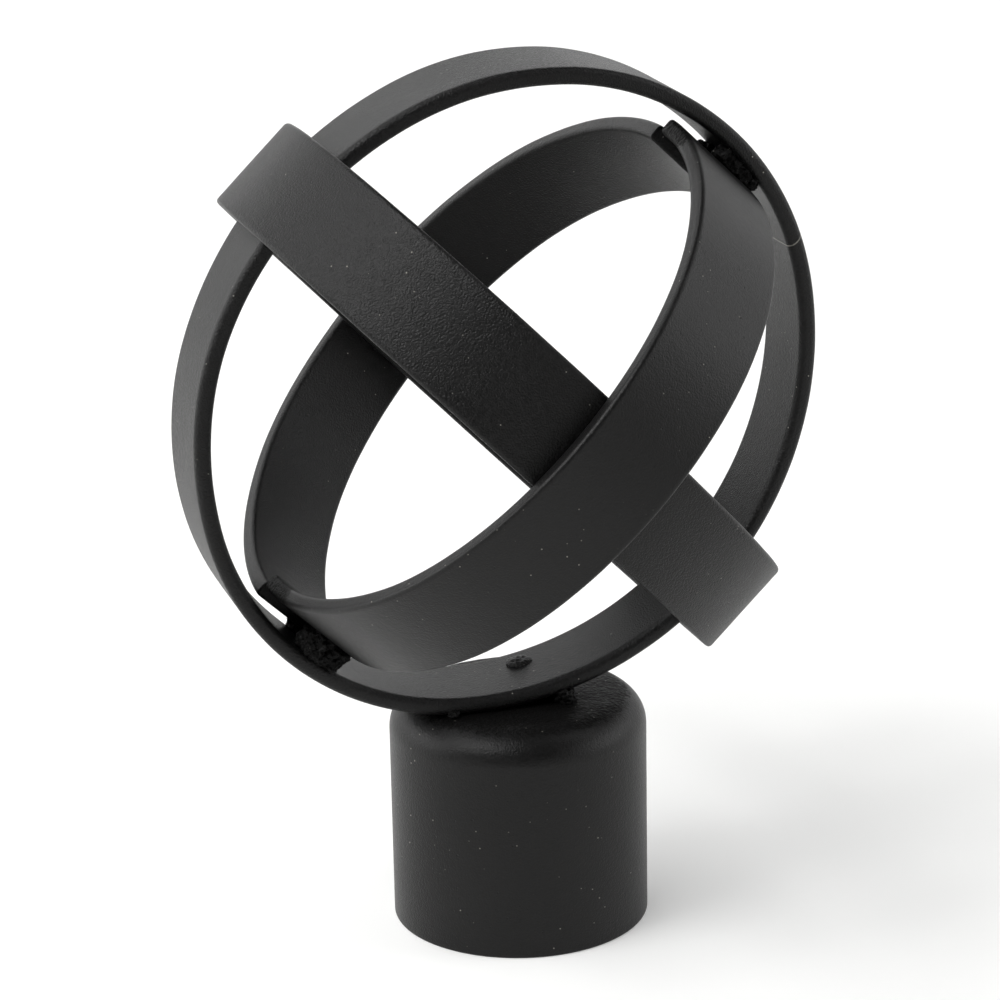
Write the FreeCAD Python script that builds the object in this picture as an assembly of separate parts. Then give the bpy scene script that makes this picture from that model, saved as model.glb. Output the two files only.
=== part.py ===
import FreeCAD, Part
import math
import os

Vector = FreeCAD.Vector

# Curtain pole finial: a round cap that slips over the pole's end, with an open sphere of three interlaced
# strip rings welded on its top. Lengths are in millimetres and angles in degrees.
# The origin is the centre of the cap's mouth, +Z points from the pole to the sphere, and -Y is the front.

# Pole and socket
POLE_DIAMETER = 28.0
SOCKET_PLAY = 0.3            # on the diameter, between the pole and the socket
CAP_WALL = 1.2               # one thickness all over, because the cap is drawn from sheet
CAP_HEIGHT = 27.7
SHOULDER_RADIUS = 4.0        # outside, where the wall turns into the end
MOUTH_EDGE_RADIUS = 0.3

# Flat strip that all the rings are rolled from
STRIP_WIDTH = 12.2           # 12 mm flat bar with its coat
STRIP_THICKNESS = 2.0
STRIP_EDGE_RADIUS = 0.5

# Sphere: half sizes of the ovals, measured to the outside of the strip
UPRIGHT_LONG_HALF = 39.6
UPRIGHT_SHORT_HALF = 35.45
LEANING_DEPTH_HALF = 37.05   # the leaning ring's half size from front to back
CROSSING_GAP = 0.5           # between the upright and leaning rings, past what their curves need
JOINT_ROOM = 1.4             # the same between the upright ring and the cross bands inside it
BAND_OVER_RING_GAP = 0.1     # the same where the cross bands pass over the leaning ring
SPHERE_OFFSET_X = -1.53      # the sphere's centre from the cap's axis
SPHERE_OFFSET_Y = 0.1
SEAT_GAP = 0.05              # under the lowest line of the upright ring

# Angles. Turns are seen from the front, from +X towards +Z. A swing is about the axis that the turn sets.
UPRIGHT_TURN_ANGLE = 49.4    # the upright ring's long axis
CROSS_TURN_ANGLE = 46.1      # the cross bands' short axis
LEANING_TURN_ANGLE = 44.1    # the leaning ring's strip width
CROSS_SWING_ANGLE = 1.7
LEANING_SWING_ANGLE = 1.1

# Cross bands: two half rings that meet inside the upright ring
TOP_JOINT_GAP = 0.9          # between their ends at the top right
BOTTOM_JOINT_GAP = 0.3       # between their ends at the bottom left
TOP_JOINT_FORWARD = 0.7      # the middle of the top gap, in front of the ring's middle plane
FRONT_BAND_SHIFT = 0.6       # towards the top right, from the sphere's centre
REAR_BAND_SHIFT = -0.7

# Welds. A bead's radius is half the gap that it fills plus its bite.
BEAD_BITE = 0.3              # in the narrow crossings, where one strip lies close over another
BEAD_LENGTH = 6.0
BEAD_INSET = 0.4             # from the edge of the strip underneath
JOINT_BEAD_BITE = 0.5        # in the wider gap between the upright ring and the cross bands
JOINT_BEAD_LENGTH = 6.6
JOINT_BEAD_INSET = 1.8
FRONT_JOINT_BEAD_SHIFT = -2.8  # along the upright ring, from the crossing's middle to the bottom right
REAR_JOINT_BEAD_SHIFT = -4.2
SEAT_BEAD_BITE = 0.4         # between the upright ring and the cap
SEAT_BEAD_OVERHANG = 0.4     # past each edge of the strip
SEAT_BEAD_LEFT_INSET = 1.8   # from the rim of the cap's flat top, on the left
SEAT_BEAD_RIGHT_INSET = 7.0  # and on the right
PLUG_DIAMETER = 3.4          # weld that fills a hole in the upright ring, above the cap
PLUG_DOME_HEIGHT = 0.45
PLUG_OFFSET = 1.2            # to the right of the cap's axis
PLUG_SETBACK = 2.3           # behind the middle of the strip

# Set screw that grips the pole, in the back of the cap
SCREW_DIAMETER = 3.0
SCREW_LENGTH = 3.0
SCREW_CLEARANCE = 0.03       # around the screw's crests
SCREW_HEIGHT = 9.0           # above the mouth
SCREW_TIP_RECESS = 0.1       # the tip stays outside the socket's wall line by this much
SCREW_END_CHAMFER = 0.3
HEX_KEY_SIZE = 1.5
HEX_KEY_DEPTH = 1.5

# Sizes that follow
SOCKET_RADIUS = (POLE_DIAMETER + SOCKET_PLAY) / 2
CAP_RADIUS = SOCKET_RADIUS + CAP_WALL
CAP_FLAT_RADIUS = CAP_RADIUS - SHOULDER_RADIUS
HALF_WIDTH = STRIP_WIDTH / 2


def oval_arcs(half_u, half_v):
    """The radii of an oval's end and side arcs, and how far their centres lie from its middle.

    The four arcs meet on a 3-4-5 triangle, so they stay tangent for any two half sizes."""
    spare = half_u - half_v
    return half_v - spare, half_u + spare / 2, 2 * spare, -1.5 * spare


def crossing_room(outside_radius):
    """Room between a bend of this outside radius and the flat face of a strip that crosses inside it."""
    inner_radius = outside_radius - STRIP_THICKNESS
    return inner_radius - math.sqrt(inner_radius ** 2 - HALF_WIDTH ** 2)


UPRIGHT_END_ROOM = crossing_room(oval_arcs(UPRIGHT_LONG_HALF, UPRIGHT_SHORT_HALF)[0])
CROSS_SHORT_HALF = UPRIGHT_LONG_HALF - STRIP_THICKNESS - UPRIGHT_END_ROOM - JOINT_ROOM
CROSS_SIDE_ROOM = crossing_room(oval_arcs(CROSS_SHORT_HALF, LEANING_DEPTH_HALF + STRIP_THICKNESS)[1])
CROSS_DEPTH_HALF = LEANING_DEPTH_HALF + STRIP_THICKNESS + CROSS_SIDE_ROOM + BAND_OVER_RING_GAP
LEANING_END_ROOM = crossing_room(oval_arcs(UPRIGHT_SHORT_HALF + STRIP_THICKNESS, LEANING_DEPTH_HALF)[0])
LEANING_LONG_HALF = UPRIGHT_SHORT_HALF + STRIP_THICKNESS + LEANING_END_ROOM + CROSSING_GAP


def oval_reach(half_u, half_v, angle):
    """Distance from the middle to the oval's outside in the direction at this angle from its u axis."""
    end_radius, side_radius, end_centre, side_centre = oval_arcs(half_u, half_v)
    along_u, along_v = abs(math.cos(math.radians(angle))), abs(math.sin(math.radians(angle)))
    if along_v * 4 < along_u * 3:
        return end_centre * along_u + end_radius
    return side_centre * along_v + side_radius


def strip_section(outer_radius):
    """Rounded cross-section of the strip in the XZ plane, its outside this far from the Z axis."""
    inner_radius = outer_radius - STRIP_THICKNESS
    edge = STRIP_EDGE_RADIUS
    bulge = edge * (1 - math.sqrt(0.5))
    outline = []
    corners = [(outer_radius, 1), (inner_radius, 1), (inner_radius, -1), (outer_radius, -1)]
    for i, (x, z_side) in enumerate(corners):
        x_side = 1 if x == outer_radius else -1
        z = z_side * HALF_WIDTH
        on_face = Vector(x, 0, z - z_side * edge)
        on_rim = Vector(x - x_side * edge, 0, z)
        middle = Vector(x - x_side * bulge, 0, z - z_side * bulge)
        first, last = (on_face, on_rim) if i % 2 == 0 else (on_rim, on_face)
        outline.append((first, middle, last))
    edges = []
    for i, (first, middle, last) in enumerate(outline):
        edges.append(Part.Arc(first, middle, last).toShape())
        edges.append(Part.makeLine(last, outline[(i + 1) % 4][0]))
    return Part.Face(Part.Wire(edges))


def strip_ring(half_u, half_v):
    """Strip rolled into a closed oval about the Z axis, centred on the origin.

    It has four bends that run into one another."""
    end_radius, side_radius, end_centre, side_centre = oval_arcs(half_u, half_v)
    meeting = math.degrees(math.atan2(3, 4))
    bends = []
    for quarter, (centre_u, centre_v, radius, half_sweep) in enumerate((
        (end_centre, 0, end_radius, meeting),
        (0, side_centre, side_radius, 90 - meeting),
        (-end_centre, 0, end_radius, meeting),
        (0, -side_centre, side_radius, 90 - meeting),
    )):
        bend = strip_section(radius).revolve(Vector(0, 0, 0), Vector(0, 0, 1), 2 * half_sweep)
        bend.rotate(Vector(0, 0, 0), Vector(0, 0, 1), 90 * quarter - half_sweep)
        bend.translate(Vector(centre_u, centre_v, 0))
        bends.append(bend)
    return bends[0].fuse(bends[1:])


def in_front_view(turn):
    """Unit vector in the front plane, turned from +X towards +Z."""
    return Vector(math.cos(math.radians(turn)), 0, math.sin(math.radians(turn)))


FORWARD = Vector(0, -1, 0)
SPHERE_DROP = oval_reach(UPRIGHT_LONG_HALF, UPRIGHT_SHORT_HALF, 90 - UPRIGHT_TURN_ANGLE)
SPHERE_CENTRE = Vector(SPHERE_OFFSET_X, SPHERE_OFFSET_Y, CAP_HEIGHT + SEAT_GAP + SPHERE_DROP)


def ring_placement(u_turn, v_axis, swing):
    """Puts a ring's u axis at its turn in the front view and its v axis along v_axis, swung about u."""
    u = in_front_view(u_turn)
    swing_turn = FreeCAD.Rotation(u, swing)
    v = swing_turn.multVec(v_axis)
    return FreeCAD.Placement(SPHERE_CENTRE, FreeCAD.Rotation(u, v, u.cross(v), "XYZ"))


UPRIGHT_PLACE = ring_placement(UPRIGHT_TURN_ANGLE, in_front_view(UPRIGHT_TURN_ANGLE + 90), 0)
LEANING_PLACE = ring_placement(LEANING_TURN_ANGLE + 90, FORWARD, LEANING_SWING_ANGLE)
CROSS_PLACE = ring_placement(CROSS_TURN_ANGLE, FORWARD, CROSS_SWING_ANGLE)


def placed(shape, place):
    """Copy of a shape moved from a ring's own frame to the finial's."""
    moved = shape.copy()
    moved.Placement = place.multiply(shape.Placement)
    return moved


def pole_cap():
    """Drawn cap: outside and inside follow one another at the wall's thickness."""
    inner_corner = SHOULDER_RADIUS - CAP_WALL
    ceiling = CAP_HEIGHT - CAP_WALL
    shoulder_foot = CAP_HEIGHT - SHOULDER_RADIUS
    lip = CAP_RADIUS - MOUTH_EDGE_RADIUS
    half = math.sqrt(0.5)

    def bend(radius, start, end):
        middle = Vector(CAP_FLAT_RADIUS + radius * half, 0, shoulder_foot + radius * half)
        return Part.Arc(start, middle, end).toShape()

    mouth_in, mouth_out = Vector(SOCKET_RADIUS, 0, 0), Vector(lip, 0, 0)
    lip_middle = Vector(lip + MOUTH_EDGE_RADIUS * half, 0, MOUTH_EDGE_RADIUS * (1 - half))
    lip_top = Vector(CAP_RADIUS, 0, MOUTH_EDGE_RADIUS)
    wall_top = Vector(CAP_RADIUS, 0, shoulder_foot)
    flat_rim = Vector(CAP_FLAT_RADIUS, 0, CAP_HEIGHT)
    ceiling_rim = Vector(SOCKET_RADIUS - inner_corner, 0, ceiling)
    socket_top = Vector(SOCKET_RADIUS, 0, shoulder_foot)
    outline = [
        Part.makeLine(mouth_in, mouth_out),
        Part.Arc(mouth_out, lip_middle, lip_top).toShape(),
        Part.makeLine(lip_top, wall_top),
        bend(SHOULDER_RADIUS, wall_top, flat_rim),
        Part.makeLine(flat_rim, Vector(0, 0, CAP_HEIGHT)),
        Part.makeLine(Vector(0, 0, CAP_HEIGHT), Vector(0, 0, ceiling)),
        Part.makeLine(Vector(0, 0, ceiling), ceiling_rim),
        bend(inner_corner, ceiling_rim, socket_top),
        Part.makeLine(socket_top, mouth_in),
    ]
    cap = Part.Face(Part.Wire(outline)).revolve(Vector(0, 0, 0), Vector(0, 0, 1), 360)
    screw_hole = Part.makeCylinder(
        SCREW_DIAMETER / 2 + SCREW_CLEARANCE, 2 * CAP_RADIUS, Vector(0, 0, SCREW_HEIGHT), Vector(0, 1, 0)
    )
    return cap.cut(screw_hole)


def plug_weld(ring_floor):
    """Weld metal in the upright ring's hole, from the cap's end to a low dome inside the ring."""
    x, y = PLUG_OFFSET, SPHERE_OFFSET_Y + PLUG_SETBACK
    radius = PLUG_DIAMETER / 2
    stem = Part.makeCylinder(radius, ring_floor - CAP_HEIGHT, Vector(x, y, CAP_HEIGHT))
    dome_radius = (radius ** 2 + PLUG_DOME_HEIGHT ** 2) / (2 * PLUG_DOME_HEIGHT)
    dome = Part.makeSphere(dome_radius, Vector(x, y, ring_floor + PLUG_DOME_HEIGHT - dome_radius))
    above_floor = Part.makeCylinder(radius, dome_radius, Vector(x, y, ring_floor))
    return stem.fuse(dome.common(above_floor)).removeSplitter()


def floor_height(ring, x, y):
    """Height of a ring's inside face above the point x, y of the cap's top."""
    probe = Part.makeLine(Vector(x, y, CAP_HEIGHT), Vector(x, y, SPHERE_CENTRE.z))
    return probe.common(ring).BoundBox.ZMax


def half_band(front):
    """One of the two halves of the cross ring, in that ring's own frame, where +Y is the front."""
    side = 1 if front else -1
    ring = strip_ring(CROSS_SHORT_HALF, CROSS_DEPTH_HALF)
    reach = 2 * (CROSS_DEPTH_HALF + STRIP_WIDTH)
    top_end = TOP_JOINT_FORWARD + side * TOP_JOINT_GAP / 2
    bottom_end = side * BOTTOM_JOINT_GAP / 2
    for x, end in ((0, top_end), (-reach, bottom_end)):
        low = end - reach if front else end
        ring = ring.cut(Part.makeBox(reach, reach, 2 * STRIP_WIDTH, Vector(x, low, -STRIP_WIDTH)))
    shift = FRONT_BAND_SHIFT if front else REAR_BAND_SHIFT
    return ring.translated(Vector(shift, 0, 0))


def capsule(centre, across, along, length, radius):
    """Round bar with domed ends: a weld bead before the metal around it is taken away.

    Its seam lies at right angles to across, in the bead's open side."""
    half_bar = length / 2 - radius
    slant = radius * math.sqrt(0.5)
    foot, head = Vector(0, 0, -length / 2), Vector(0, 0, length / 2)
    low, high = Vector(radius, 0, -half_bar), Vector(radius, 0, half_bar)
    outline = [
        Part.Arc(foot, Vector(slant, 0, -half_bar - slant), low).toShape(),
        Part.makeLine(low, high),
        Part.Arc(high, Vector(slant, 0, half_bar + slant), head).toShape(),
        Part.makeLine(head, foot),
    ]
    bar = Part.Face(Part.Wire(outline)).revolve(Vector(0, 0, 0), Vector(0, 0, 1), 360)
    bar.Placement = FreeCAD.Placement(centre, FreeCAD.Rotation(along.cross(across), across, along, "ZXY"))
    return bar


def bead(point, across, along, length, bite, neighbours):
    """Weld bead that fills the gap between two pieces at a point, and overlaps neither of them.

    across points from one piece to the other, and along is the way that the bead runs."""
    reach = across * 2 * STRIP_THICKNESS
    probe = Part.makeLine(point - reach, point + reach).cut(neighbours)
    gap = min(probe.Edges, key=lambda edge: edge.distToShape(Part.Vertex(point))[0])
    metal = capsule(gap.CenterOfMass, across, along, length, gap.Length / 2 + bite).cut(neighbours)
    return max(metal.Solids, key=lambda solid: solid.Volume)


def bead_pair(place, middles, along, inset, length, bite, neighbours):
    """The beads on both edges of a strip at one crossing, given in the frame of the ring it belongs to.

    middles are two points in the strip's middle plane, for the bead on each edge."""
    along = place.Rotation.multVec(along)
    beads = []
    for side, middle in zip((-1, 1), middles):
        across = place.Rotation.multVec(middle).normalize()
        point = place.multVec(middle + Vector(0, 0, side * (HALF_WIDTH - inset)))
        beads.append(bead(point, across, along, length, bite, neighbours))
    return beads


def on_upright(turn):
    """Unit vector in the upright ring's frame, at this angle in the front view."""
    angle = math.radians(turn - UPRIGHT_TURN_ANGLE)
    return Vector(math.cos(angle), math.sin(angle), 0)


def crossing_beads(upright, leaning, bands):
    """Beads at the six crossings of the rings, two at each."""
    over_upright = on_upright(LEANING_TURN_ANGLE + 90) * (UPRIGHT_SHORT_HALF + CROSSING_GAP / 2)
    in_upright = on_upright(CROSS_TURN_ANGLE) * (UPRIGHT_LONG_HALF - STRIP_THICKNESS - JOINT_ROOM / 2)
    over_leaning = Vector(0, LEANING_DEPTH_HALF + BAND_OVER_RING_GAP / 2, 0)
    narrow = (BEAD_INSET, BEAD_LENGTH, BEAD_BITE)
    wide = (JOINT_BEAD_INSET, JOINT_BEAD_LENGTH, JOINT_BEAD_BITE)
    along_leaning, along_cross = on_upright(LEANING_TURN_ANGLE), on_upright(CROSS_TURN_ANGLE + 90)
    shifts = [along_cross * REAR_JOINT_BEAD_SHIFT, along_cross * FRONT_JOINT_BEAD_SHIFT]
    along_u = Vector(1, 0, 0)
    beads = []
    for side in (-1, 1):
        middles = [over_upright * side] * 2
        beads += bead_pair(UPRIGHT_PLACE, middles, along_leaning, *narrow, [upright, leaning])
        middles = [in_upright * side + shift for shift in shifts]
        beads += bead_pair(UPRIGHT_PLACE, middles, along_cross, *wide, [upright] + bands)
        middles = [over_leaning * side] * 2
        beads += bead_pair(LEANING_PLACE, middles, along_u, *narrow, [leaning] + bands)
    return beads


def seat_beads(upright, cap):
    """Two beads across the strip, in the narrow corners between the upright ring and the cap's top."""
    length = STRIP_WIDTH + 2 * SEAT_BEAD_OVERHANG
    beads = []
    for x in (SEAT_BEAD_LEFT_INSET - CAP_FLAT_RADIUS, CAP_FLAT_RADIUS - SEAT_BEAD_RIGHT_INSET):
        point = Vector(x, SPHERE_OFFSET_Y, CAP_HEIGHT + SEAT_GAP)
        beads.append(bead(point, Vector(0, 0, 1), Vector(0, 1, 0), length, SEAT_BEAD_BITE, [upright, cap]))
    return beads


def grub_screw():
    """Set screw with a hexagon socket, in the back wall, its tip clear of the pole's way in."""
    tip_y = SOCKET_RADIUS + SCREW_TIP_RECESS
    radius = SCREW_DIAMETER / 2
    screw = Part.makeCylinder(radius, SCREW_LENGTH, Vector(0, tip_y, SCREW_HEIGHT), Vector(0, 1, 0))
    rims = [edge for edge in screw.Edges if edge.Closed and edge.BoundBox.YLength < 1e-6]
    screw = screw.makeChamfer(SCREW_END_CHAMFER, rims)
    corner = HEX_KEY_SIZE / math.sqrt(3)
    key_centre = Vector(0, tip_y + SCREW_LENGTH - HEX_KEY_DEPTH, SCREW_HEIGHT)
    corners = [key_centre + in_front_view(60 * i) * corner for i in range(7)]
    socket = Part.Face(Part.makePolygon(corners)).extrude(Vector(0, 2 * HEX_KEY_DEPTH, 0))
    return screw.cut(socket)


def build():
    """Every piece of the finial, by name."""
    cap = pole_cap()
    upright = placed(strip_ring(UPRIGHT_LONG_HALF, UPRIGHT_SHORT_HALF), UPRIGHT_PLACE)
    leaning = placed(strip_ring(LEANING_LONG_HALF, LEANING_DEPTH_HALF), LEANING_PLACE)
    front_band = placed(half_band(True), CROSS_PLACE)
    rear_band = placed(half_band(False), CROSS_PLACE)
    plug = plug_weld(floor_height(upright, PLUG_OFFSET, SPHERE_OFFSET_Y + PLUG_SETBACK))
    upright = upright.cut(plug)
    beads = crossing_beads(upright, leaning, [front_band, rear_band]) + seat_beads(upright, cap)
    return {
        "pole_cap": cap,
        "upright_ring": upright,
        "leaning_ring": leaning,
        "cross_band_front": front_band,
        "cross_band_rear": rear_band,
        "plug_weld": plug,
        "weld_beads": Part.makeCompound(beads),
        "grub_screw": grub_screw(),
    }


os.makedirs("parts", exist_ok=True)
for node, shape in build().items():
    shape.exportStep(f"parts/{node}.step")
    box = shape.optimalBoundingBox(False)
    low = [round(value, 2) for value in (box.XMin, box.YMin, box.ZMin)]
    high = [round(value, 2) for value in (box.XMax, box.YMax, box.ZMax)]
    print(f"{node}: {len(shape.Solids)} solid(s), {shape.Volume:.1f} mm3, from {low} to {high}")
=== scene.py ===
# %% [markdown]
# # Curtain pole finial in satin black powder coat
# The object is the end piece of a curtain pole: a round cap that slips over the pole, and on it an open
# sphere of three interlaced rings, all rolled from one flat steel strip and welded together.
# The CAD model gives the frame, and everything here is in its coordinates: metres, the origin in the middle
# of the cap's mouth, +Z towards the sphere and -Y to the front.

# %% Load the CAD frame
import math

import bmesh
import bpy
from mathutils import Matrix, Vector, noise


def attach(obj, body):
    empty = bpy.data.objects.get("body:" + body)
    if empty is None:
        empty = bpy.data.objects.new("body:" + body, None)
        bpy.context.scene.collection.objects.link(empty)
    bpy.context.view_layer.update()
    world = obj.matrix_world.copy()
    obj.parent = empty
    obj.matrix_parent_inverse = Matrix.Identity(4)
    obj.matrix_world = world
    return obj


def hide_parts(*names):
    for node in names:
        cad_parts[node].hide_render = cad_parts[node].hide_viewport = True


MM = 0.001
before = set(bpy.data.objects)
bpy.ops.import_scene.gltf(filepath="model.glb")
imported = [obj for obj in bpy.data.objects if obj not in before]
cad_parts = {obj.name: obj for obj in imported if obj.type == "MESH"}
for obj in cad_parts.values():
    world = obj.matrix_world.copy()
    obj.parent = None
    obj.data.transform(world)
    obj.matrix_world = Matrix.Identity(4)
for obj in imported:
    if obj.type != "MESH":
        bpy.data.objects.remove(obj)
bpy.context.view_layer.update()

# %% [markdown]
# ## Camera
# The photograph was taken from a little above and from the left of the front, with a long lens. A camera is
# given by its place, the point it is aimed at, a small roll and its lens. Aiming it with a constraint would
# work as well, but a plain matrix leaves nothing live in the scene.

# %% Place the camera
CAMERA_PLACE = Vector((-99.24, -344.85, 163.85)) * MM
CAMERA_AIM = Vector((-2.49, -2.94, 52.67)) * MM
CAMERA_ROLL = math.radians(-1.14)
CAMERA_LENS = 115.77  # mm, on a sensor 36 mm wide

camera_data = bpy.data.cameras.new("camera")
camera_data.lens = CAMERA_LENS
camera_data.sensor_width = 36
camera_data.clip_start = 0.01
camera = bpy.data.objects.new("camera", camera_data)
bpy.context.scene.collection.objects.link(camera)
look = (CAMERA_AIM - CAMERA_PLACE).to_track_quat("-Z", "Y").to_matrix().to_4x4()
camera.matrix_world = Matrix.Translation(CAMERA_PLACE) @ look @ Matrix.Rotation(CAMERA_ROLL, 4, "Z")
bpy.context.scene.camera = camera
print("camera to aim:", round((CAMERA_AIM - CAMERA_PLACE).length / MM, 1), "mm")

# %% [markdown]
# ## A short way to write nodes
# Materials and Geometry Nodes are both trees of nodes joined by links, and long sums are hard to read as
# nodes. The class below wraps one socket. An expression such as `1 - mask * 0.5` on it adds the Math nodes
# that reckon it, so the sums further down read as plain Python.

# %% Wrap a socket and its tree
class Wire:
    """A socket of a node tree. Python's operators on it add Math nodes."""

    def __init__(self, tree, socket):
        self.tree, self.socket = tree, socket

    def maths(self, operation, *values):
        return self.tree.add("ShaderNodeMath", dict(enumerate(values)), operation=operation)

    def __add__(self, other):
        return self.maths("ADD", self, other)

    def __sub__(self, other):
        return self.maths("SUBTRACT", self, other)

    def __mul__(self, other):
        return self.maths("MULTIPLY", self, other)

    def __truediv__(self, other):
        return self.maths("DIVIDE", self, other)

    def __radd__(self, other):
        return self.maths("ADD", other, self)

    def __rsub__(self, other):
        return self.maths("SUBTRACT", other, self)

    def __rmul__(self, other):
        return self.maths("MULTIPLY", other, self)

    def __lt__(self, other):
        return self.maths("LESS_THAN", self, other)

    def __gt__(self, other):
        return self.maths("GREATER_THAN", self, other)

    def __abs__(self):
        return self.maths("ABSOLUTE", self)

    def sign(self):
        return self.maths("SIGN", self)

    def cos(self):
        return self.maths("COSINE", self)

    def sin(self):
        return self.maths("SINE", self)

    def power(self, exponent):
        return self.maths("POWER", self, exponent)

    def smooth(self, low, high):
        """0 below low, 1 above high, and a soft slope between them."""
        values = {"Value": self, "From Min": low, "From Max": high}
        return self.tree.add("ShaderNodeMapRange", values, interpolation_type="SMOOTHSTEP")


class Tree:
    """A node tree that is being wired."""

    def __init__(self, node_tree):
        self.node_tree = node_tree

    def add(self, kind, values=None, output=0, **settings):
        """Adds a node with its settings, gives its sockets values or links, and returns one output."""
        node = self.node_tree.nodes.new(kind)
        for name, value in settings.items():
            setattr(node, name, value)
        for key, value in (values or {}).items():
            if isinstance(value, Wire):
                self.node_tree.links.new(value.socket, node.inputs[key])
            else:
                node.inputs[key].default_value = value
        return Wire(self, node.outputs[output]) if node.outputs else None

    def colours(self, share, first, second):
        """Mixes two colours."""
        return self.add("ShaderNodeMix", {0: share, 6: first, 7: second}, output=2, data_type="RGBA")

    def vectors(self, operation, first, second, output=0):
        """Vector Math on two vectors. Output 1 is the number that a dot product or distance gives."""
        return self.add("ShaderNodeVectorMath", {0: first, 1: second}, output=output, operation=operation)


# %% [markdown]
# ## Powder coat
# The steel is covered in satin black powder coat. Powder melts into a skin with a fine orange peel, here and
# there a grain of dust sits in it as a pale fleck, and small pits stay where gas came out. Each of these is
# a pattern in the material: noise for the peel, and the distance to scattered points for flecks and pits.
# Object coordinates are in metres, so each pattern's scale is one over its real size.
# At and beside the welds a second surface, matt and gritty black, is mixed in by a mask with a ragged edge:
# it is painted shade of the crevices there. The same surface makes the cap's flat end darker and duller.

# %% Powder coat material
FLECK_COLOUR = (0.28, 0.27, 0.24, 1)
PIT_COLOUR = (0.002, 0.002, 0.002, 1)
COAT_BLACK = (0.0036, 0.0035, 0.0035, 1)
WORN_BLACK = tuple(channel * 1.8 for channel in COAT_BLACK[:3]) + (1,)
# The darker matt surface: painted shade at and beside the welds, and the cap's duller end.
DARK_MATT_BLACK = (0.0035, 0.0034, 0.0033, 1)
COAT_SHEEN, DARK_MATT_SHEEN = 0.25, 0.10
COAT_ROUGHNESS, DARK_MATT_ROUGHNESS = 0.40, 0.55
SAND_SIZE, PEEL_SIZE, MATT_LUMP_SIZE, CLOUD_SIZE = 0.20 * MM, 0.7 * MM, 0.5 * MM, 9 * MM
FLECK_SPACING, PIT_SPACING = 1.4 * MM, 2.6 * MM
# How far each pattern stands out of the coat, in mm
SAND_RELIEF, PEEL_RELIEF, MATT_LUMP_RELIEF = 0.05, 0.022, 0.25
FLECK_RELIEF, PIT_RELIEF, SEAM_RELIEF = 0.04, 0.05, 0.08


def grains(tree, place, size, detail):
    """Soft noise whose grains have this size."""
    return tree.add("ShaderNodeTexNoise", {"Vector": place, "Scale": 1 / size, "Detail": detail})


def dots(tree, place, spacing, core, rim):
    """1 in scattered dots. The core is full and the rim empty, both as shares of the spacing."""
    distance = tree.add("ShaderNodeTexVoronoi", {"Vector": place, "Scale": 1 / spacing})
    return 1 - distance.smooth(core, rim)


def coat_patterns(tree, place):
    """The patterns that every powder-coated surface shares: sand, peel, cloud, flecks and pits."""
    cloud = grains(tree, place, CLOUD_SIZE, 3.0)
    return {
        "sand": grains(tree, place, SAND_SIZE, 1.5),
        "peel": grains(tree, place, PEEL_SIZE, 1.0),
        "cloud": cloud,
        "fleck": dots(tree, place, FLECK_SPACING, 0.03, 0.08) * cloud.smooth(0.4, 0.6),
        "pit": dots(tree, place, PIT_SPACING, 0.02, 0.06),
    }


def bump(tree, height):
    """Normals of a relief whose height is in mm."""
    return tree.add("ShaderNodeBump", {"Height": height, "Distance": MM, "Strength": 1.0})


def powder_coat(name, roughness=COAT_ROUGHNESS, sand=1.0, flecks=1.0, seam=None, matt_mask=None):
    """Satin black powder coat. sand scales its relief, flecks the strength of its dust, and the functions
    seam and matt_mask give masks of a weld seam and of a darker matt surface, which is painted shade at the
    welds and a duller end on the cap."""
    material = bpy.data.materials.new(name)
    material.use_nodes = True
    material.node_tree.nodes.clear()
    tree = Tree(material.node_tree)
    place = tree.add("ShaderNodeTexCoord", output="Object")
    pattern = coat_patterns(tree, place)
    grain, cloud = pattern["sand"] - 0.5, pattern["cloud"] - 0.5

    skin = tree.colours((cloud * 0.6 + grain * sand + 0.5).smooth(0.2, 0.8), COAT_BLACK, WORN_BLACK)
    skin = tree.colours(pattern["fleck"] * flecks, skin, FLECK_COLOUR)
    skin = tree.colours(pattern["pit"] * 0.8, skin, PIT_COLOUR)
    height = grain * (SAND_RELIEF * sand) + pattern["peel"] * PEEL_RELIEF
    height = height + pattern["fleck"] * FLECK_RELIEF - pattern["pit"] * PIT_RELIEF
    if seam is not None:
        mark = seam(tree, place)
        skin = tree.colours(mark * 0.7, skin, FLECK_COLOUR)
        height = height + mark * SEAM_RELIEF
    surface = tree.add("ShaderNodeBsdfPrincipled", {
        "Base Color": skin, "Roughness": grain * (0.16 * sand) + cloud * 0.08 + roughness,
        "Specular IOR Level": COAT_SHEEN, "Normal": bump(tree, height),
    })
    # The darker matt surface, mixed in by its mask: painted shade at and beside the welds, and a darker,
    # duller cap end.
    if matt_mask is not None:
        lumps = grains(tree, place, MATT_LUMP_SIZE, 2.0)
        dark_matt = tree.colours(pattern["fleck"] * flecks, DARK_MATT_BLACK, FLECK_COLOUR)
        matt = tree.add("ShaderNodeBsdfPrincipled", {
            "Base Color": dark_matt, "Roughness": DARK_MATT_ROUGHNESS, "Specular IOR Level": DARK_MATT_SHEEN,
            "Normal": bump(tree, height + lumps * MATT_LUMP_RELIEF),
        })
        share = (matt_mask(tree, place) + grain * 0.8 + (lumps - 0.5) * 1.2).smooth(0.2, 0.8)
        surface = tree.add("ShaderNodeMixShader", {0: share, 1: surface, 2: matt})
    tree.add("ShaderNodeOutputMaterial", {"Surface": surface})
    return material


sandy_coat = powder_coat("sandy_powder_coat", sand=2.2, flecks=1.3)
print("nodes in the sandy coat:", len(sandy_coat.node_tree.nodes))

# %% [markdown]
# ## The upright ring's butt seam
# A closed ring is one strip whose ends were butted and welded, and on the upright ring that seam shows as a
# pale thread across its rim on the right. It could be cut into the mesh, but it is thinner than the coat is
# rough, so the material draws it: a line where the distance to a plane across the strip is almost nothing.

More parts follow.
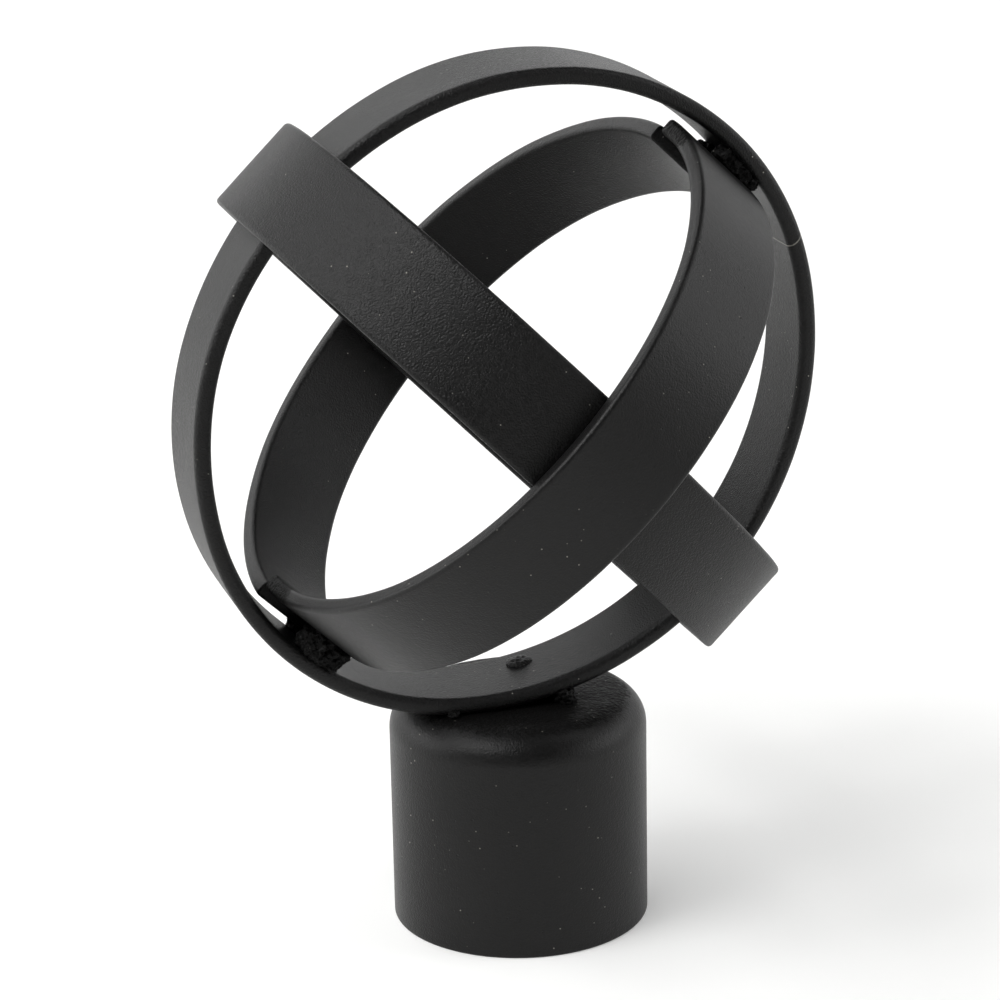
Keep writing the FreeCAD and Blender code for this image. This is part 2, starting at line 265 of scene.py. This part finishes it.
# %% Seam material
SPHERE_CENTRE = Vector((-1.53, 0.10, 65.37)) * MM
SEAM_TURN = math.radians(24.3)      # above the horizontal, on the right
SEAM_RADIUS = 37.1 * MM             # from the sphere's centre to the middle of the strip's rim
SEAM_SAG = 260.0                    # how strongly the seam bows down in the middle of the rim, in 1/m
SEAM_HALF_WIDTH = 0.10 * MM
SEAM_REACH = 8 * MM                 # beyond this distance along the rim nothing is drawn


def butt_seam(tree, place):
    """1 on a thin bowed line across the upright ring at its seam, and 0 elsewhere."""
    outward = Vector((math.cos(SEAM_TURN), 0, math.sin(SEAM_TURN)))
    around = Vector((-math.sin(SEAM_TURN), 0, math.cos(SEAM_TURN)))
    from_seam = tree.vectors("SUBTRACT", place, SPHERE_CENTRE + outward * SEAM_RADIUS)
    across = tree.vectors("DOT_PRODUCT", from_seam, outward, output=1)
    along = tree.vectors("DOT_PRODUCT", from_seam, around, output=1)
    bow = across * across * SEAM_SAG
    near = 1 - tree.vectors("LENGTH", from_seam, (0, 0, 0), output=1).smooth(SEAM_REACH - MM, SEAM_REACH)
    return (1 - abs(along - bow).smooth(SEAM_HALF_WIDTH * 0.5, SEAM_HALF_WIDTH)) * near


seamed_coat = powder_coat("seamed_powder_coat", sand=2.0, flecks=1.3, seam=butt_seam)
print("the seam lies", round(math.degrees(SEAM_TURN), 1), "degrees above the horizontal")

# %% [markdown]
# ## The rolled strip
# Every ring is one flat strip, 12.2 x 2 mm with its coat, rolled into an oval. A curve with a bevel could
# draw it, but a Geometry Nodes tree can also follow the rule that gives the oval: four arcs that meet on a
# 3-4-5 triangle, so that they stay tangent for any two half sizes. The tree walks round the oval by the angle
# of its normal, sets the strip's section on that line, and ends a cut strip with a flat face. Rolling leaves
# the faces very slightly uneven, so a slow noise moves them in and out by a few hundredths of a millimetre.

# %% Helpers for Geometry Nodes trees
SOCKET_KINDS = {float: "NodeSocketFloat", int: "NodeSocketInt", bool: "NodeSocketBool"}


def new_group(name, inputs, takes_mesh=False):
    """A Geometry Nodes tree with named inputs, a material input and a mesh output."""
    group = bpy.data.node_groups.new(name, "GeometryNodeTree")
    if takes_mesh:
        group.interface.new_socket("Geometry", in_out="INPUT", socket_type="NodeSocketGeometry")
    for label, default in inputs.items():
        socket = group.interface.new_socket(label, in_out="INPUT", socket_type=SOCKET_KINDS[type(default)])
        socket.default_value = default
    group.interface.new_socket("Coat", in_out="INPUT", socket_type="NodeSocketMaterial")
    group.interface.new_socket("Mesh", in_out="OUTPUT", socket_type="NodeSocketGeometry")
    tree, node = Tree(group), group.nodes.new("NodeGroupInput")
    return tree, lambda label: Wire(tree, node.outputs[label])


def uneven(tree, mesh, depth, size, seed):
    """Moves a mesh in and out along its normals by a soft noise."""
    place = tree.add("GeometryNodeInputPosition")
    lumps = tree.add(
        "ShaderNodeTexNoise", {"Vector": place, "W": seed, "Scale": 1 / size, "Detail": 1.0},
        noise_dimensions="4D",
    )
    shift = tree.add(
        "ShaderNodeVectorMath", {0: tree.add("GeometryNodeInputNormal"), "Scale": (lumps - 0.5) * 2 * depth},
        operation="SCALE",
    )
    return tree.add("GeometryNodeSetPosition", {"Geometry": mesh, "Offset": shift})


def close_group(tree, mesh, given):
    """Gives the finished mesh its material and sends it to the tree's output."""
    mesh = tree.add("GeometryNodeSetShadeSmooth", {"Geometry": mesh})
    mesh = tree.add("GeometryNodeRealizeInstances", {"Geometry": mesh})
    mesh = tree.add("GeometryNodeSetMaterial", {"Geometry": mesh, "Material": given("Coat")})
    output = tree.node_tree.nodes.new("NodeGroupOutput")
    tree.node_tree.links.new(mesh.socket, output.inputs["Mesh"])
    return tree.node_tree


# %% Tree of the rolled strip
STRIP_WIDTH, STRIP_THICKNESS = 12.2 * MM, 2 * MM
ROLLING_WAVE = 7 * MM


def rolled_strip():
    """A strip of rounded section along a four-arc oval, from one angle of its normal to another."""
    tree, given = new_group("rolled_strip", {
        "Half U": 39.6 * MM, "Half V": 35.45 * MM, "Width": STRIP_WIDTH, "Thickness": STRIP_THICKNESS,
        "Edge Radius": 0.5 * MM, "From": 0.0, "To": math.tau, "Steps": 360, "Closed": True,
        "Spacing": 0.2 * MM, "Unevenness": 0.03 * MM, "Seed": 1,
    })
    steps, closed = given("Steps"), given("Closed")
    angle = given("From") + tree.add("GeometryNodeInputIndex") * (given("To") - given("From")) / steps
    half_u = given("Half U") - given("Thickness") * 0.5
    half_v = given("Half V") - given("Thickness") * 0.5
    spare = half_u - half_v
    normal_u, normal_v = angle.cos(), angle.sin()
    in_end_arc = abs(normal_v) * 4 < abs(normal_u) * 3
    in_side_arc = 1 - in_end_arc
    radius = in_end_arc * (half_v - spare) + in_side_arc * (half_u + spare * 0.5)
    u = radius * normal_u + in_end_arc * normal_u.sign() * spare * 2
    v = radius * normal_v - in_side_arc * normal_v.sign() * spare * 1.5
    on_oval = tree.add("ShaderNodeCombineXYZ", {"X": u, "Y": v})

    points = tree.add("GeometryNodeMeshLine", {"Count": steps + (1 - closed)})
    line = tree.add("GeometryNodeMeshToCurve", {"Mesh": points})
    line = tree.add("GeometryNodeSetPosition", {"Geometry": line, "Position": on_oval})
    line = tree.add("GeometryNodeSetSplineCyclic", {"Geometry": line, "Cyclic": closed})
    line = tree.add("GeometryNodeSetCurveNormal", {"Curve": line}, mode="Z_UP")
    sides = {"Width": given("Thickness"), "Height": given("Width")}
    section = tree.add("GeometryNodeCurvePrimitiveQuadrilateral", sides)
    rounding = {"Curve": section, "Count": 8, "Radius": given("Edge Radius")}
    section = tree.add("GeometryNodeFilletCurve", rounding, mode="POLY")
    spaced = {"Curve": section, "Length": given("Spacing")}
    section = tree.add("GeometryNodeResampleCurve", spaced, mode="LENGTH")
    swept = {"Curve": line, "Profile Curve": section, "Fill Caps": (1 - closed) > 0.5}
    strip = tree.add("GeometryNodeCurveToMesh", swept)
    strip = uneven(tree, strip, given("Unevenness"), ROLLING_WAVE, given("Seed"))
    return close_group(tree, strip, given)


strip_group = rolled_strip()
print("nodes in rolled_strip:", len(strip_group.nodes))

# %% [markdown]
# ## From a tree to a plain mesh
# The export wants meshes, not modifiers. A piece is made on an empty object, its evaluated mesh is copied,
# and the copy is turned into the finial's coordinates, so that every object stays at the origin.

# %% Make a plain mesh from a tree
def plain_piece(name, group, inputs, start=None, place=None, bevel=0.0):
    """Runs a Geometry Nodes tree, and a bevel on sharp edges if one is asked for, and keeps the mesh."""
    piece = bpy.data.objects.new(name, start or bpy.data.meshes.new(name))
    bpy.context.scene.collection.objects.link(piece)
    modifier = piece.modifiers.new("tree", "NODES")
    modifier.node_group = group
    for item in group.interface.items_tree:
        if item.in_out == "INPUT" and item.name in inputs:
            modifier[item.identifier] = inputs[item.name]
    if bevel:
        rounding = piece.modifiers.new("bevel", "BEVEL")
        rounding.width, rounding.segments = bevel, 4
        rounding.limit_method, rounding.angle_limit = "ANGLE", math.radians(60)
        rounding.harden_normals = True
    evaluated = piece.evaluated_get(bpy.context.evaluated_depsgraph_get())
    mesh = bpy.data.meshes.new_from_object(evaluated)
    mesh.name = name
    piece.modifiers.clear()
    piece.data = mesh
    if place is not None:
        mesh.transform(place)
    return piece


def stand_for(piece, slot, *nodes):
    """Lets a piece stand for CAD nodes: it rides on the one body, the nodes are hidden and its box is
    printed. The slot is not used.
    """
    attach(piece, "root")
    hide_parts(*nodes)
    corners = [piece.matrix_world @ Vector(corner) for corner in piece.bound_box]
    low = [round(min(corner[i] for corner in corners) / MM, 2) for i in range(3)]
    high = [round(max(corner[i] for corner in corners) / MM, 2) for i in range(3)]
    print(f"{piece.name}: {len(piece.data.polygons)} faces, from {low} to {high} mm")


# %% [markdown]
# ## Where the rings stand
# Each ring has its own flat frame: u along one half size, v along the other, and the strip's width across.
# The upright ring faces the front, a little off level. The other two run from front to back and lean to
# opposite sides, each swung by a degree or two, as hand work leaves them.

# %% Frames of the three rings
def front_direction(turn):
    """Unit vector in the front view, turned from +X towards +Z by this many degrees."""
    return Vector((math.cos(math.radians(turn)), 0, math.sin(math.radians(turn))))


def ring_frame(u_turn, v_axis, swing=0.0):
    """Matrix from a ring's own frame to the finial's. The swing is about the ring's u axis."""
    u = front_direction(u_turn)
    v = Matrix.Rotation(math.radians(swing), 3, u) @ v_axis
    turned = Matrix((u, v, u.cross(v))).transposed().to_4x4()
    return Matrix.Translation(SPHERE_CENTRE) @ turned


FORWARD = Vector((0, -1, 0))
UPRIGHT_TURN, LEANING_TURN, CROSS_TURN = 49.4, 134.1, 46.1  # of each ring's u axis, in degrees
LEANING_SWING, CROSS_SWING = 1.1, 1.7
UPRIGHT_FRAME = ring_frame(UPRIGHT_TURN, front_direction(UPRIGHT_TURN + 90))
LEANING_FRAME = ring_frame(LEANING_TURN, FORWARD, LEANING_SWING)
CROSS_FRAME = ring_frame(CROSS_TURN, FORWARD, CROSS_SWING)
print("facing of the upright ring:", tuple(round(part, 3) for part in UPRIGHT_FRAME.col[2].xyz))

# %% [markdown]
# ## The two closed rings
# The upright ring stands on the cap and carries the seam. The leaning ring passes over it at both ends of
# its short axis, so its half size there is larger by the strip's thickness and a little room for the weld.
# The upright ring isn't quite true in the photograph: its rear edge flares out at the top and on the left,
# and between them, under the leaning ring, its front edge is pulled in. Each of these bends is a soft bell
# along the ring.

# %% Build the closed rings
UPRIGHT_HALVES = (39.60 * MM, 35.45 * MM)
LEANING_HALVES = (38.49 * MM, 37.05 * MM)
UPRIGHT_EDGE_RADIUS = 0.8 * MM
BENDS = (  # direction and half length in degrees, then how far out the rear and the front edge go
    (88, 40, 0.80 * MM, 0), (190, 42, 0.60 * MM, 0), (132, 45, 0, -0.50 * MM),
)


def hand_bent(piece):
    """Moves the two edges of the upright ring's strip in or out by the bends."""
    for vertex in piece.data.vertices:
        arm = vertex.co - SPHERE_CENTRE
        to_rear = 0.5 + arm.y / STRIP_WIDTH
        direction = math.degrees(math.atan2(arm.z, arm.x))
        for middle, half_length, rear, front in BENDS:
            away = abs((direction - middle + 180) % 360 - 180) / half_length
            bell = 0.5 + 0.5 * math.cos(math.pi * min(1, away))
            shift = bell * (rear * to_rear + front * (1 - to_rear))
            vertex.co += Vector((arm.x, 0, arm.z)).normalized() * shift


upright_ring = plain_piece(
    "upright_ring_strip", strip_group,
    {"Half U": UPRIGHT_HALVES[0], "Half V": UPRIGHT_HALVES[1], "Edge Radius": UPRIGHT_EDGE_RADIUS,
     "Seed": 3, "Coat": seamed_coat},
    place=UPRIGHT_FRAME,
)
hand_bent(upright_ring)
stand_for(upright_ring, "powder_coat", "upright_ring")
leaning_ring = plain_piece(
    "leaning_ring_strip", strip_group,
    {"Half U": LEANING_HALVES[0], "Half V": LEANING_HALVES[1], "Seed": 5, "Coat": sandy_coat},
    place=LEANING_FRAME,
)
stand_for(leaning_ring, "powder_coat", "leaning_ring")

# %% [markdown]
# ## The cross bands
# The third ring can't be slipped in whole, so it is made of two halves that meet inside the upright ring.
# Their ends are cut square and don't quite meet: at the top right a dark gap shows between them, and the
# front half sits a little further out than the rear one. The cut edges get a small bevel, because the coat
# rounds them, and beside the welds outside the front half's two ends the band is darkened by painted shade.

# %% Build the cross bands
CROSS_HALVES = (35.56 * MM, 39.74 * MM)
END_ARC_RADIUS = 2 * CROSS_HALVES[1] - CROSS_HALVES[0] - STRIP_THICKNESS / 2  # to the strip's middle
FRONT_BAND_SHIFT, REAR_BAND_SHIFT = 0.6 * MM, -0.7 * MM  # towards the top right
TOP_GAP, TOP_GAP_FORWARD, BOTTOM_GAP = 0.9 * MM, 0.7 * MM, 0.3 * MM
CUT_BEVEL = 0.3 * MM
WELD_SHADE_SPOTS = (  # the end's side, how far forward its weld lies, and the radii of full painted shade and of none
    (1, 5.0 * MM, 3.2 * MM, 6.2 * MM), (-1, 1.0 * MM, 6.0 * MM, 9.0 * MM),
)
WELD_OUTSIDE = 1.5 * MM


def painted_weld_shade(tree, place):
    """1 where painted shade darkens the front band beside the welds at its two ends, fading out along the
    band.
    """
    dark_matt = 0
    for side, forward, full, none in WELD_SHADE_SPOTS:
        weld = CROSS_FRAME @ Vector((side * (CROSS_HALVES[0] + WELD_OUTSIDE), forward, 0))
        from_weld = tree.vectors("SUBTRACT", place, weld)
        across = tree.vectors("DOT_PRODUCT", from_weld, CROSS_FRAME.col[0].xyz, output=1)
        ahead = tree.vectors("DOT_PRODUCT", from_weld, CROSS_FRAME.col[1].xyz, output=1)
        distance = (across * across + ahead * ahead).power(0.5)
        dark_matt = dark_matt + (1 - distance.smooth(full, none))
    return dark_matt


def band(name, node, first, last, shift, seed, skin):
    """Builds half of the cross ring, from one angle of its normal to another, shifted along u."""
    piece = plain_piece(
        name, strip_group,
        {"Half U": CROSS_HALVES[0], "Half V": CROSS_HALVES[1], "From": first, "To": last, "Steps": 190,
         "Closed": False, "Seed": seed, "Coat": skin},
        place=CROSS_FRAME @ Matrix.Translation((shift, 0, 0)), bevel=CUT_BEVEL,
    )
    stand_for(piece, "powder_coat", node)


def end_angle(distance):
    """Angle of the normal at an end that lies this far in front of the ring's middle plane."""
    return math.asin(distance / END_ARC_RADIUS)


band(
    "cross_band_front_strip", "cross_band_front",
    end_angle(TOP_GAP_FORWARD + TOP_GAP / 2), math.pi - end_angle(BOTTOM_GAP / 2), FRONT_BAND_SHIFT, 7,
    powder_coat("powder_coat_with_painted_shade", matt_mask=painted_weld_shade),
)
band(
    "cross_band_rear_strip", "cross_band_rear",
    math.pi + end_angle(BOTTOM_GAP / 2), math.tau + end_angle(TOP_GAP_FORWARD - TOP_GAP / 2),
    REAR_BAND_SHIFT, 9, sandy_coat,
)

# %% [markdown]
# ## The cap
# The cap is drawn from sheet: a plain wall, a rounded shoulder and a flat end, with the socket inside at the
# wall's thickness. It is a round shape, so a profile is spun about Z. The heat of welding leaves its end
# slightly lumpy, its flat end is given a darker and duller coat, and a Boolean cuts the hole of the set screw
# through the back.

# %% Profile of the cap
SOCKET_RADIUS, CAP_RADIUS, CAP_HEIGHT = 14.15 * MM, 15.35 * MM, 27.7 * MM
SHOULDER_RADIUS, MOUTH_EDGE_RADIUS = 4.0 * MM, 0.3 * MM
SCREW_HEIGHT, SCREW_HOLE_RADIUS = 9.0 * MM, 1.53 * MM
CAP_STEPS = 256
DULL_END_DEPTH, DULL_END_STRENGTH = 1.2 * MM, 0.8
HEAT_LUMP_SIZE, HEAT_LUMP_DEPTH = 2.4 * MM, 0.06 * MM


def arc(centre, radius, start, end, steps):
    """Points of an arc in the profile's plane, between two angles in degrees."""
    angles = [math.radians(start + (end - start) * i / steps) for i in range(steps + 1)]
    return [(centre[0] + radius * math.cos(a), centre[1] + radius * math.sin(a)) for a in angles]


def straight(start, end, steps):
    """Points of a straight run, without its first one."""
    return [tuple(s + (e - s) * i / steps for s, e in zip(start, end)) for i in range(1, steps + 1)]


def cap_profile():
    """Distance from the axis and height, from the middle of the end round the wall to inside the socket."""
    shoulder = (CAP_RADIUS - SHOULDER_RADIUS, CAP_HEIGHT - SHOULDER_RADIUS)
    wall = CAP_RADIUS - SOCKET_RADIUS
    lip = (CAP_RADIUS - MOUTH_EDGE_RADIUS, MOUTH_EDGE_RADIUS)
    profile = [(0, CAP_HEIGHT)] + straight((0, CAP_HEIGHT), (shoulder[0], CAP_HEIGHT), 22)[:-1]
    profile += arc(shoulder, SHOULDER_RADIUS, 90, 0, 24)
    profile += straight(profile[-1], (CAP_RADIUS, MOUTH_EDGE_RADIUS), 40)[:-1]
    profile += arc(lip, MOUTH_EDGE_RADIUS, 0, -90, 6)
    profile += straight(profile[-1], (SOCKET_RADIUS, 0), 2)
    profile += straight(profile[-1], (SOCKET_RADIUS, shoulder[1]), 12)[:-1]
    profile += arc(shoulder, SHOULDER_RADIUS - wall, 0, 90, 10)
    profile += straight(profile[-1], (0, CAP_HEIGHT - wall), 4)
    return profile


# %% Spin the cap
def spun(name, profile, steps):
    """Closed mesh of a profile turned about Z, with its poles merged and its normals outwards."""
    shape = bmesh.new()
    rows = [shape.verts.new((x, 0, z)) for x, z in profile]
    edges = [shape.edges.new(pair) for pair in zip(rows, rows[1:])]
    bmesh.ops.spin(shape, geom=rows + edges, cent=(0, 0, 0), axis=(0, 0, 1), angle=math.tau, steps=steps)
    bmesh.ops.remove_doubles(shape, verts=shape.verts, dist=1e-7)
    bmesh.ops.recalc_face_normals(shape, faces=shape.faces)
    mesh = bpy.data.meshes.new(name)
    shape.to_mesh(mesh)
    shape.free()
    return mesh


def dull_cap_end(tree, place):
    """Strong on the cap's flat end, which is made darker and duller, and 0 below it."""
    height = tree.add("ShaderNodeSeparateXYZ", {"Vector": place}, output=2)
    return height.smooth(CAP_HEIGHT - DULL_END_DEPTH, CAP_HEIGHT) * DULL_END_STRENGTH


def heat_lumps(mesh):
    """Makes the cap's flat end slightly uneven, fading out over the shoulder."""
    run_out = SHOULDER_RADIUS * 0.4
    for vertex in mesh.vertices:
        fade = max(0.0, (vertex.co.z - (CAP_HEIGHT - run_out)) / run_out)
        lumps = noise.fractal(vertex.co / HEAT_LUMP_SIZE, 1.0, 2.0, 3)
        vertex.co.z += HEAT_LUMP_DEPTH * fade * (lumps - 0.2)


cap_mesh = spun("cap_shell", cap_profile(), CAP_STEPS)
heat_lumps(cap_mesh)
cap = bpy.data.objects.new("cap_shell", cap_mesh)
bpy.context.scene.collection.objects.link(cap)

# %% Drill the cap for its set screw and coat it
cutter_shape = bmesh.new()
bmesh.ops.create_cone(
    cutter_shape, cap_ends=True, segments=48, radius1=SCREW_HOLE_RADIUS, radius2=SCREW_HOLE_RADIUS,
    depth=CAP_RADIUS,
    matrix=Matrix.Translation((0, CAP_RADIUS, SCREW_HEIGHT)) @ Matrix.Rotation(math.radians(90), 4, "X"),
)
cutter_mesh = bpy.data.meshes.new("cutter")
cutter_shape.to_mesh(cutter_mesh)
cutter_shape.free()
cutter = bpy.data.objects.new("cutter", cutter_mesh)
bpy.context.scene.collection.objects.link(cutter)
drill = cap.modifiers.new("drill", "BOOLEAN")
drill.object, drill.operation, drill.solver = cutter, "DIFFERENCE", "EXACT"
drilled = bpy.data.meshes.new_from_object(cap.evaluated_get(bpy.context.evaluated_depsgraph_get()))
cap.modifiers.clear()
bpy.data.objects.remove(cutter)
cap.data = drilled
cap.data.materials.clear()
cap_coat = powder_coat("cap_powder_coat", sand=1.2, flecks=1.3, matt_mask=dull_cap_end)
cap.data.materials.append(cap_coat)
cap.data.shade_smooth()
cap.data.set_sharp_from_angle(angle=math.radians(38))
stand_for(cap, "powder_coat", "pole_cap")

# %% [markdown]
# ## The welds
# Where the strips meet they are joined by small beads, and a plug of weld fills a hole in the upright ring
# above the cap. Weld metal is lumpy under its coat. The CAD beads already lie where they should, so a copy
# of them is melted together by a voxel remesh and pushed in and out by noise, with no two beads alike.

# %% Tree of the weld skin
LUMP_SIZE, RIPPLE_SIZE = 1.3 * MM, 0.45 * MM


def weld_skin():
    """Turns smooth weld metal into lumpy, coated weld metal."""
    sizes = {"Swell": 0.10 * MM, "Lumps": 1.00 * MM, "Ripples": 0.55 * MM, "Seed": 4}
    tree, given = new_group("weld_skin", sizes, takes_mesh=True)
    outwards = {0: tree.add("GeometryNodeInputNormal"), "Scale": given("Swell")}
    swell = tree.add("ShaderNodeVectorMath", outwards, operation="SCALE")
    mesh = tree.add("GeometryNodeSetPosition", {"Geometry": given("Geometry"), "Offset": swell})
    mesh = uneven(tree, mesh, given("Lumps"), LUMP_SIZE, given("Seed"))
    mesh = uneven(tree, mesh, given("Ripples"), RIPPLE_SIZE, given("Seed"))
    return close_group(tree, mesh, given)


weld_group = weld_skin()
print("nodes in weld_skin:", len(weld_group.nodes))

# %% Build the welds
WELD_VOXEL = 0.13 * MM
# The beads' coat is mixed three quarters with the darker matt surface: painted shade of the crevices they sit
# in.
WELD_ROUGHNESS, WELD_PAINTED_SHADE = 0.5, 0.75
weld_coat = powder_coat(
    "weld_powder_coat", WELD_ROUGHNESS, sand=2.5, flecks=2.0, matt_mask=lambda tree, place: WELD_PAINTED_SHADE,
)
plug_coat = powder_coat("plug_powder_coat", sand=2.5)
WELDS = (  # CAD node, seed, depth of the lumps and of the ripples, coat
    ("weld_beads", 4, 1.00 * MM, 0.55 * MM, weld_coat), ("plug_weld", 8, 0.12 * MM, 0.16 * MM, plug_coat),
)


def remelted(node):
    """A copy of a CAD node's mesh, merged and remeshed into even small faces."""
    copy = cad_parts[node].data.copy()
    shape = bmesh.new()
    shape.from_mesh(copy)
    bmesh.ops.remove_doubles(shape, verts=shape.verts, dist=1e-6)
    shape.to_mesh(copy)
    shape.free()
    holder = bpy.data.objects.new("holder", copy)
    bpy.context.scene.collection.objects.link(holder)
    remesh = holder.modifiers.new("remesh", "REMESH")
    remesh.mode, remesh.voxel_size = "VOXEL", WELD_VOXEL
    mesh = bpy.data.meshes.new_from_object(holder.evaluated_get(bpy.context.evaluated_depsgraph_get()))
    bpy.data.objects.remove(holder)
    return mesh


for node, seed, lumps, ripples, skin in WELDS:
    weld = plain_piece(
        node + "_skin", weld_group, {"Seed": seed, "Lumps": lumps, "Ripples": ripples, "Coat": skin},
        start=remelted(node),
    )
    stand_for(weld, "powder_coat", node)

# %% [markdown]
# ## The set screw
# A small black screw in the back of the cap grips the pole. Its body comes from the CAD model, and its
# finish is oiled black steel.

# %% Finish of the set screw
OXIDE_DARK, OXIDE_LIGHT = (0.03, 0.03, 0.032, 1), (0.07, 0.07, 0.075, 1)
TURNING_MARK, TURNING_RELIEF = 0.15 * MM, 0.02


def black_oxide():
    """Oiled black oxide on steel: dark and metallic, with fine turning marks."""
    material = bpy.data.materials.new("black_oxide")
    material.use_nodes = True
    material.node_tree.nodes.clear()
    tree = Tree(material.node_tree)
    place = tree.add("ShaderNodeTexCoord", output="Object")
    marks = grains(tree, place, TURNING_MARK, 2.0)
    steel = tree.add("ShaderNodeBsdfPrincipled", {
        "Base Color": tree.colours(marks, OXIDE_DARK, OXIDE_LIGHT), "Roughness": marks * 0.2 + 0.3,
        "Metallic": 0.9, "Normal": bump(tree, marks * TURNING_RELIEF),
    })
    tree.add("ShaderNodeOutputMaterial", {"Surface": steel})
    return material


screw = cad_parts["grub_screw"]
screw.data.materials.clear()
screw.data.materials.append(black_oxide())
print("set screw faces:", len(screw.data.polygons))

# %% [markdown]
# ## Floor and light
# The photograph is a cut-out on white. Its soft highlights show a tent of pale panels to the left, to the
# right and behind, with the strongest panel up on the left, and a dark opening where the camera stands.
# An area lamp stands for each panel, because its size sets how wide and soft the highlight is. The floor is
# pale and keeps the finial's shadow. A faint glow, seen only by the camera and in reflections, lifts it from
# pale grey to white.

# %% Floor
FLOOR_HALF = 1.5
FLOOR_COLOUR = (0.85, 0.85, 0.84, 1)
FLOOR_GLOW = 0.2

floor_mesh = bpy.data.meshes.new("floor")
corners = [(x * FLOOR_HALF, y * FLOOR_HALF, 0) for x, y in ((-1, -1), (1, -1), (1, 1), (-1, 1))]
floor_mesh.from_pydata(corners, [], [(0, 1, 2, 3)])
floor = bpy.data.objects.new("floor", floor_mesh)
bpy.context.scene.collection.objects.link(floor)


def pale_floor():
    """Matt and pale, with the glow that only the camera, reflections and glass see."""
    material = bpy.data.materials.new("pale_floor")
    material.use_nodes = True
    material.node_tree.nodes.clear()
    tree = Tree(material.node_tree)
    seen = sum(
        tree.add("ShaderNodeLightPath", output=ray)
        for ray in ("Is Camera Ray", "Is Glossy Ray", "Is Transmission Ray")
    )
    matt = tree.add("ShaderNodeBsdfDiffuse", {"Color": FLOOR_COLOUR})
    glow = tree.add("ShaderNodeEmission", {"Strength": seen * FLOOR_GLOW})
    tree.add("ShaderNodeOutputMaterial", {"Surface": tree.add("ShaderNodeAddShader", {0: matt, 1: glow})})
    return material


floor_mesh.materials.append(pale_floor())
print("floor:", 2 * FLOOR_HALF, "m square")

# %% World
WORLD_GREY, WORLD_STRENGTH = (0.5, 0.5, 0.5, 1), 0.02

world = bpy.data.worlds.new("studio")
bpy.context.scene.world = world
world.use_nodes = True
background = world.node_tree.nodes["Background"]
background.inputs["Color"].default_value = WORLD_GREY
background.inputs["Strength"].default_value = WORLD_STRENGTH
print("light from all round:", WORLD_GREY[0] * WORLD_STRENGTH)

# %% Panels of the tent
TENT_TURN = -16.95          # degrees from -Y towards +X: the side on which the camera stands
PANEL_DISTANCE = 1.32       # m from the sphere's centre
LOW_ELEVATION, HIGH_ELEVATION = 15, 48
LOW_PANEL, HIGH_PANEL = (0.68, 0.57), (0.53, 0.68)  # width and height in m
PANELS = {  # azimuth from the tent's front, positive to its right: watts of the low and of the high panel
    -150: (1.65, 2.25), -120: (2.90, 1.25), -90: (4.90, 1.25), -60: (0.40, 8.60), -30: (0, 4.90),
    60: (1.45, 0), 90: (3.90, 2.50), 120: (2.05, 0.40), 150: (1.25, 0), 180: (2.05, 0),
}


def panel(name, azimuth, elevation, size, power):
    """A rectangular area lamp that faces the sphere."""
    turn, rise = math.radians(azimuth + TENT_TURN), math.radians(elevation)
    away = Vector((math.sin(turn) * math.cos(rise), -math.cos(turn) * math.cos(rise), math.sin(rise)))
    light = bpy.data.lights.new(name, "AREA")
    light.shape, light.size, light.size_y, light.energy = "RECTANGLE", *size, power
    lamp = bpy.data.objects.new(name, light)
    bpy.context.scene.collection.objects.link(lamp)
    facing = away.to_track_quat("Z", "Y").to_matrix().to_4x4()
    lamp.matrix_world = Matrix.Translation(SPHERE_CENTRE + away * PANEL_DISTANCE) @ facing


for azimuth, (low, high) in PANELS.items():
    if low:
        panel(f"low_panel_{azimuth}", azimuth, LOW_ELEVATION, LOW_PANEL, low)
    if high:
        panel(f"high_panel_{azimuth}", azimuth, HIGH_ELEVATION, HIGH_PANEL, high)

# %% [markdown]
# The Standard view transform shows the colours as they are written. The visual model must not grow past the
# CAD model.

# %% Finish
bpy.context.scene.view_settings.view_transform = "Standard"
